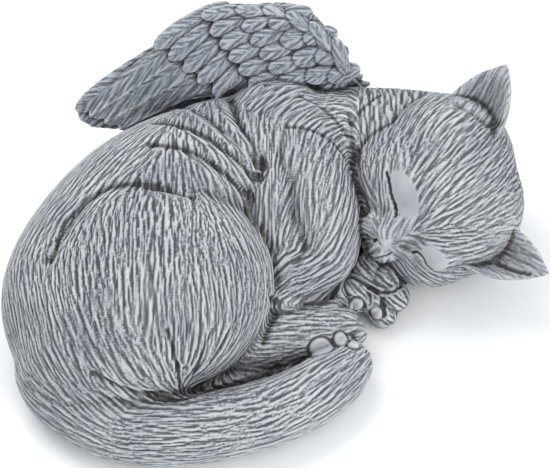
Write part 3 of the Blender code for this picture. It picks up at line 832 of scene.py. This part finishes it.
def open_sky(skin):
    """How open each point is to its surroundings, from 0 in a deep crease to 1 on a free ridge."""
    source = bmesh.new()
    source.from_mesh(skin.mesh)
    coarse = fuse(source, SHADE_GRAIN, 1)
    places = read(coarse.vertices, "co")
    normals = read(coarse.vertices, "normal")
    faces = [tuple(face.vertices) for face in coarse.polygons]
    tree = BVHTree.FromPolygons(places.tolist(), faces)
    tilt = np.arccos(np.sqrt(1 - (np.arange(SKY_RAYS) + 0.5) / SKY_RAYS))
    turn = np.arange(SKY_RAYS) * math.pi * (3 - math.sqrt(5))
    fan = np.stack([np.sin(tilt) * np.cos(turn), np.sin(tilt) * np.sin(turn), np.cos(tilt)], axis=1)
    upright = np.abs(normals[:, 2:3]) > 0.9
    helper = np.where(upright, np.array([[1.0, 0, 0]]), np.array([[0, 0, 1.0]]))
    side = unit(np.cross(normals, helper))
    other = np.cross(normals, side)
    starts = (places + normals * SKY_START).tolist()
    openness = np.zeros(len(places))
    cast = tree.ray_cast
    for ray in fan:
        ways = (side * ray[0] + other * ray[1] + normals * ray[2]).tolist()
        hits = [cast(start, way, SKY_REACH)[3] for start, way in zip(starts, ways)]
        openness += [1.0 if hit is None else SKY_HIT * hit / SKY_REACH for hit in hits]
    openness /= SKY_RAYS
    found = nearest(tree_of(places), skin.places)
    bpy.data.meshes.remove(coarse)
    return skin.smooth(openness[found], 12)


def hollows(skin, times):
    """How far each point lies below the surface evened out around it: positive in creases."""
    evened = [skin.smooth(skin.places[:, axis].astype(float), times) for axis in range(3)]
    return np.sum((np.array(evened).T - skin.places) * skin.normals, axis=1)


def comb(skin, flow):
    """Streaks along the fur: chance values drawn out along the flow, even spread about 0."""
    lookup = tree_of(skin.places)
    stray = CHANCE.standard_normal(skin.places.shape) * STREAK_STRAY
    ahead = nearest(lookup, skin.places + flow * STREAK_STEP + stray)
    behind = nearest(lookup, skin.places - flow * STREAK_STEP - stray)
    seed = skin.smooth(CHANCE.standard_normal(len(skin.places)), STREAK_WIDTH)
    total = seed.copy()
    forward = ahead
    backward = behind
    for k in range(1, STREAK_REACH):
        weight = math.cos(0.5 * math.pi * k / STREAK_REACH)
        total += weight * (seed[forward] + seed[backward])
        forward = ahead[forward]
        backward = behind[backward]
    total -= skin.smooth(total, 30)
    return total / total.std()


def feather_lay(points, wing):
    """How feathers lie on a wing: the barbs' way, nearness to a rim and to a seam, and the step up."""
    best = np.full(len(points), 9.0)
    second = best.copy()
    step = np.zeros(len(points))
    flow = np.tile(np.array(wing.along), (len(points), 1))
    leaves = []
    for length, width, centre, heading, sideways, outward in wing_feathers(wing):
        local = in_axes(points, centre, (heading, sideways, outward))
        reach = np.linalg.norm(local / (length / 2, width / 2, FEATHER_THICKNESS / U / 2), axis=1)
        side = np.tanh(local[:, 1:2] / SHAFT) * math.sin(BARB_TURN)
        barb = np.array(heading) * math.cos(BARB_TURN) + np.array(sideways) * side
        nearer = reach < best
        second = np.where(nearer, best, np.minimum(second, reach))
        best = np.where(nearer, reach, best)
        flow[nearer] = barb[nearer]
        leaves.append((local, barb, length, width))
    long_ones = FEATHER_ROWS[0][0]
    covered = np.zeros(len(points), dtype=bool)
    for local, barb, length, width in leaves[long_ones:]:
        reach = np.linalg.norm(local[:, :2] / (length / 2, width / 2), axis=1)
        covered |= (reach < 1.05) & (np.abs(local[:, 2]) < 3.0)
    for local, barb, length, width in reversed(leaves[:long_ones]):
        over = local[:, 1] / (width / 2)
        inside = (np.abs(local[:, 0]) < 0.62 * length) & (np.abs(over) < 1) & ~covered
        flow[inside] = barb[inside]
        step[inside] = LONG_FEATHER_STEP * over[inside] ** 3
        best[inside] = np.abs(over[inside])
        second[inside] = 9.0
    return flow, best, np.exp(-((second - best) / SEAM_WIDTH) ** 2), step


# Smooth places without fur on the face: centre and half sizes along the head's axes
SMOOTH_FACE = [
    (on_head(34.8, 8.4, 12.6), (8.0, 6.0, 12.0)),
    (on_head(33.8, 7.3, -20.4), (7.0, 5.2, 8.5)),
    (Vector(NOSE), (3.2, 3.2, 3.2)),
]

# Foot pads, the hind foot's three first: centre and radius; how high a pad stands and how deep its ring is
PADS = [
    ((20.0, -27.5, 21.6), 5.4),
    ((29.0, -22.1, 22.5), 3.4),
    ((34.4, -24.6, 22.9), 3.0),
    ((36.5, 3.1, 15.4), 3.4),
    ((45.8, 1.3, 11.8), 3.0),
]
PAD_RISE = 0.8
PAD_RING = 0.8


def smooth_places(points, fine_lines):
    """1 where the casting is smooth between the fur: eyelids, nose, foot pads and along the fine lines."""
    bald = np.zeros(len(points))
    for centre, size in SMOOTH_FACE:
        near = ball_distance(points, centre, size, HEAD_AXES)
        bald = np.maximum(bald, np.clip(0.5 - near / 1.2, 0, 1))
    for centre, radius in PADS:
        near = np.linalg.norm(points - np.array(centre), axis=1) - 1.25 * radius
        bald = np.maximum(bald, np.clip(0.5 - near, 0, 1))
    for half_width, rows in fine_lines:
        bald = np.maximum(bald, np.clip(2.0 - path_distance(points, rows, 2) / half_width, 0, 1))
    return bald


def pads(points):
    """Height of the foot pads, with the groove around each, and of the nose."""
    height = np.zeros(len(points))
    for centre, radius in PADS:
        away = np.linalg.norm(points - np.array(centre), axis=1)
        height += PAD_RISE * np.sqrt(np.clip(1 - (away / radius) ** 2, 0, 1))
        height -= PAD_RING * np.exp(-((away - 1.12 * radius) / 0.8) ** 2)
    away = np.linalg.norm(points - np.array(NOSE), axis=1)
    return height + NOSE_RISE * np.exp(-(away / NOSE_SIZE) ** 2)


def settle(skin, region, times):
    """Even out the borders between regions, so that no region has loose specks."""
    shares = [skin.smooth((region == part).astype(float), times) for part in range(len(REGIONS))]
    return np.argmax(np.array(shares), axis=0)


mesh = whole_skin()
skin = Skin(mesh)
middle = (skin.places.min(axis=0) + skin.places.max(axis=0)) / 2

for groove in FOLDS + CREASES:
    skin.press(*groove)
lookup = tree_of(skin.places)
fine_lines = []
for depth, half_width, rows in FINE_LINES:
    rows = skin.places[nearest(lookup, smooth_path(rows, 4))]
    fine_lines.append((half_width, rows))
    skin.press(depth, half_width, rows, 2)
skin.move(pads(skin.places))
distance, flows = survey(skin.places)
region = np.argmin(distance, axis=0)
for wing_region in (WING_NEAR, WING_FAR):
    region[distance[wing_region] < WING_REACH] = wing_region
for ear_region in (EAR_UP, EAR_DOWN):
    region[(distance[ear_region] < EAR_REACH) & (region != WING_NEAR)] = ear_region
weights = np.exp(-np.maximum(distance - distance.min(axis=0), 0) / FLOW_BLEND)
weights[WING_NEAR:] = 0
flow = along_skin(np.sum(flows * weights[:, :, None], axis=0), skin.normals)
region[(region == HEAD) & (path_distance(skin.places, EAR_HOLLOW) < CUP_FLOOR)] = EAR_UP

bald = smooth_places(skin.places, fine_lines)
region = settle(skin, region, SETTLING)
openness = open_sky(skin)

feathered = region >= WING_NEAR
rim = np.zeros(len(flow))
seam = np.zeros(len(flow))
step = np.zeros(len(flow))
for part, wing in zip((WING_NEAR, WING_FAR), WING_FRAMES):
    members = np.where(region == part)[0]
    lay, near, seam[members], step[members] = feather_lay(skin.places[members], wing)
    flow[members] = along_skin(lay, skin.normals[members])
    rim[members] = np.clip(3.0 * (near - RIM_START), 0, 1)
streaks = comb(skin, flow)
depth = skin.smooth(np.array(FUR_DEPTH)[region], 8) * (1 - bald)
muzzle = np.exp(-np.sum((skin.places - np.array(NOSE)) ** 2, axis=1) / MUZZLE_REACH ** 2)
depth *= 1 - MUZZLE_DEPTH * muzzle
gouge = np.clip((GOUGE_START - streaks) / GOUGE_DROP, 0, 1)
gouge = skin.smooth(gouge * gouge * (3 - 2 * gouge), 1)
# The broad folds, which the colour darkens as painted shade
fold = hollows(skin, FOLD_EVENING)
skin.move(-(gouge * depth + SEAM_DEPTH * seam - skin.smooth(step, 1)))
crest_and_hollow_shade = hollows(skin, CREST_EVENING)
gouge = gouge * (1 - bald) + SMOOTH_WASH * bald
on_feathers = FEATHER_WASH + BARB_WASH * gouge + SEAM_WASH * seam - RIM_WASH * rim
gouge = np.where(feathered, on_feathers, gouge * (1 - MUZZLE_WASH * muzzle))
# Painted shade: the ears darken where they are closed to the sky, carried in the same layer as the wash
in_ear = (region == EAR_UP) | (region == EAR_DOWN)
gouge += np.where(in_ear, EAR_PAINTED_SHADE * np.clip((EAR_SHADE[0] - openness) / EAR_SHADE[1], 0, 1), 0)
gouge *= np.array(TONE)[region]
wings = skin.smooth(feathered.astype(float), 4)

for axis in range(2):
    skin.places[:, axis] -= middle[axis]
skin.renew()


def set_socket(node, name, value):
    node.inputs[name].default_value = value


def stone():
    """Blue-grey cast stone: dark wash in the gouges, painted shade in the ears, folds and hollows closed to
    the sky, pale dry-brushed ridges and fine grain.
    """
    material = bpy.data.materials.new("cast_stone_aged")
    material.use_nodes = True
    nodes = material.node_tree.nodes
    links = material.node_tree.links
    shader = nodes["Principled BSDF"]
    set_socket(shader, "Roughness", 0.82)
    set_socket(shader, "Specular IOR Level", 0.25)

    def layer(name):
        node = nodes.new("ShaderNodeAttribute")
        node.attribute_name = name
        return node.outputs["Fac"]

    def ramp(source, *stops):
        node = nodes.new("ShaderNodeValToRGB")
        elements = node.color_ramp.elements
        while len(elements) < len(stops):
            elements.new(0.5)
        for element, (place, colour) in zip(elements, stops):
            element.position = place
            element.color = (*colour, 1)
        links.new(source, node.inputs["Fac"])
        return node.outputs["Color"]

    def mixed(kind, factor, first, second):
        node = nodes.new("ShaderNodeMix")
        node.data_type = "RGBA"
        node.blend_type = kind
        if isinstance(factor, float):
            set_socket(node, "Factor", factor)
        else:
            links.new(factor, node.inputs["Factor"])
        links.new(first, node.inputs["A"])
        if isinstance(second, tuple):
            set_socket(node, "B", second)
        else:
            links.new(second, node.inputs["B"])
        return node.outputs["Result"]

    where = nodes.new("ShaderNodeTexCoord").outputs["Object"]

    def noise(scale, detail):
        node = nodes.new("ShaderNodeTexNoise")
        set_socket(node, "Scale", scale)
        set_socket(node, "Detail", detail)
        links.new(where, node.inputs["Vector"])
        return node.outputs["Fac"]

    def grey(value):
        return (value, value, value)

    tone = ramp(layer("gouge"), (0.0, (0.494, 0.499, 0.519)), (0.2, (0.37, 0.383, 0.403)),
                (0.55, (0.204, 0.216, 0.231)), (1.0, (0.095, 0.10, 0.108)))
    tone = mixed("MULTIPLY", 1.0, tone, ramp(layer("wings"), (0.0, grey(1)), (1.0, (0.78, 0.80, 0.845))))
    # Painted shade: darker and browner where the skin is closed to the sky
    tone = mixed("MULTIPLY", 1.0, tone, ramp(layer("sky_shade"), (0.3, (0.42, 0.39, 0.385)), (0.8, grey(1))))
    # Painted shade in the broad folds and creases
    tone = mixed("MULTIPLY", 1.0, tone, ramp(layer("fold"), (0.05, grey(1)), (0.5, (0.30, 0.285, 0.285))))
    lifted = nodes.new("ShaderNodeMath")
    lifted.operation = "MULTIPLY"
    set_socket(lifted, 1, -1.0)
    links.new(layer("crest_and_hollow_shade"), lifted.inputs[0])
    brushed = ramp(lifted.outputs[0], (0.02, grey(0)), (0.22, grey(0.5)))
    tone = mixed("MIX", brushed, tone, (0.66, 0.667, 0.69, 1))
    # Painted shade in the fine hollows
    tone = mixed("MULTIPLY", 1.0, tone, ramp(layer("crest_and_hollow_shade"), (0.02, grey(1)), (0.25, grey(0.6))))
    tone = mixed("MULTIPLY", 1.0, tone, ramp(noise(45.0, 6.0), (0.32, (0.76, 0.775, 0.80)), (0.62, grey(1))))
    links.new(tone, shader.inputs["Base Color"])

    bump = nodes.new("ShaderNodeBump")
    set_socket(bump, "Strength", 0.35)
    set_socket(bump, "Distance", 0.0004)
    links.new(noise(1400.0, 3.0), bump.inputs["Height"])
    links.new(bump.outputs["Normal"], shader.inputs["Normal"])
    return material


material = stone()

loops = read(mesh.loops, "vertex_index", 1, np.int32)
starts = read(mesh.polygons, "loop_start", 1, np.int32)
sizes = read(mesh.polygons, "loop_total", 1, np.int32)
owner = region[loops[starts]]
spots = skin.places[loops[starts]]
owner[(owner == BACK) & (spots[:, 1] > OUTER_LINE)] = OUTER_BACK
owner[(owner == BACK) & (spots[:, 0] > NAPE_LINE)] = NAPE
# Colour layers: the wash with painted shade in the ears, painted shade from openness and folds, crests and
# hollows, wings
layers = {"gouge": gouge, "sky_shade": openness, "fold": fold, "crest_and_hollow_shade": crest_and_hollow_shade, "wings": wings}


def cut_piece(part, name):
    """One region of the skin as a piece of its own, shaded with the whole skin's normals."""
    faces = np.where(owner == part)[0]
    corners = np.concatenate([np.arange(starts[f], starts[f] + sizes[f]) for f in faces])
    used, renumbered = np.unique(loops[corners], return_inverse=True)
    piece_mesh = bpy.data.meshes.new(name)
    piece_mesh.vertices.add(len(used))
    piece_mesh.vertices.foreach_set("co", (skin.places[used] * U).astype(np.float32).ravel())
    piece_mesh.loops.add(len(corners))
    piece_mesh.loops.foreach_set("vertex_index", renumbered.astype(np.int32).ravel())
    piece_mesh.polygons.add(len(faces))
    ends = np.cumsum(sizes[faces])
    piece_mesh.polygons.foreach_set("loop_start", (ends - sizes[faces]).astype(np.int32))
    piece_mesh.update(calc_edges=True)
    piece_mesh.validate()
    piece_mesh.polygons.foreach_set("use_smooth", np.ones(len(piece_mesh.polygons), dtype=bool))
    for kind, values in layers.items():
        layer = piece_mesh.attributes.new(kind, "FLOAT", "POINT")
        layer.data.foreach_set("value", values[used].astype(np.float32))
    piece_mesh.normals_split_custom_set_from_vertices(skin.normals[used].tolist())
    piece_mesh.materials.append(material)
    piece = bpy.data.objects.new(name, piece_mesh)
    show(piece)
    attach(piece, "root")
    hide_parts("kitten_angel")


for part, name in enumerate(NAMES):
    cut_piece(part, name)
bpy.data.meshes.remove(mesh)

# Floor: its half size, and how far it lies below the flat underside so that the two don't share a plane
FLOOR_HALF = 3.0
FLOOR_GAP = 0.0002
floor_mesh = bpy.data.meshes.new("floor")
corners = [(x * FLOOR_HALF, y * FLOOR_HALF, 0) for x, y in ((-1, -1), (1, -1), (1, 1), (-1, 1))]
floor_mesh.from_pydata(corners, [], [(0, 1, 2, 3)])
floor = bpy.data.objects.new("floor", floor_mesh)
floor.location = (0, 0, -FLOOR_GAP)
paper = bpy.data.materials.new("paper")
paper.use_nodes = True
matt = paper.node_tree.nodes["Principled BSDF"]
set_socket(matt, "Base Color", (0.95, 0.95, 0.95, 1))
set_socket(matt, "Roughness", 0.9)
floor_mesh.materials.append(paper)
show(floor)

scene.view_settings.view_transform = "Standard"
world = bpy.data.worlds.new("studio")
scene.world = world
world.use_nodes = True
daylight = world.node_tree.nodes["Background"]
set_socket(daylight, "Color", (0.95, 0.98, 1.0, 1))
set_socket(daylight, "Strength", 0.85)


# Lights face the middle of the statue
LIGHT_AIM = Vector((0, 0, 0.03))


def soft_light(name, place, size, power):
    lamp = bpy.data.lights.new(name, "AREA")
    lamp.size = size
    lamp.energy = power
    holder = bpy.data.objects.new(name, lamp)
    holder.location = place
    holder.rotation_euler = (Vector(place) - LIGHT_AIM).to_track_quat("Z", "Y").to_euler()
    show(holder)


soft_light("window", (-0.45, 0.45, 1.0), 0.7, 6.5)
soft_light("fill", (0.8, -0.8, 0.6), 0.9, 8.0)

# Camera: turned and tilted as in the photograph, moved and zoomed until the statue fills the frame as there
VIEW_DISTANCE = 1.1
VIEW_ELEVATION = math.radians(50)
FILLED_WIDTH = 547.6 / 550
toward = np.array((0, -math.cos(VIEW_ELEVATION), math.sin(VIEW_ELEVATION)))
upward = np.array((0, math.sin(VIEW_ELEVATION), math.cos(VIEW_ELEVATION)))
target = np.array((0.0, 0.0111, 0.040))
seen_points = skin.places * U
for _ in range(4):
    eye = target + toward * VIEW_DISTANCE
    away = (eye - seen_points) @ toward
    across = (seen_points[:, 0] - eye[0]) / away
    up = ((seen_points - eye) @ upward) / away
    target = target + (across.max() + across.min()) / 2 * VIEW_DISTANCE * np.array((1, 0, 0))
    target = target + (up.max() + up.min()) / 2 * VIEW_DISTANCE * upward
camera_data = bpy.data.cameras.new("camera")
camera_data.lens = camera_data.sensor_width * FILLED_WIDTH / (across.max() - across.min())
camera = bpy.data.objects.new("camera", camera_data)
camera.location = target + toward * VIEW_DISTANCE
camera.rotation_euler = Vector(toward).to_track_quat("Z", "Y").to_euler()
show(camera)
bpy.context.scene.camera = camera
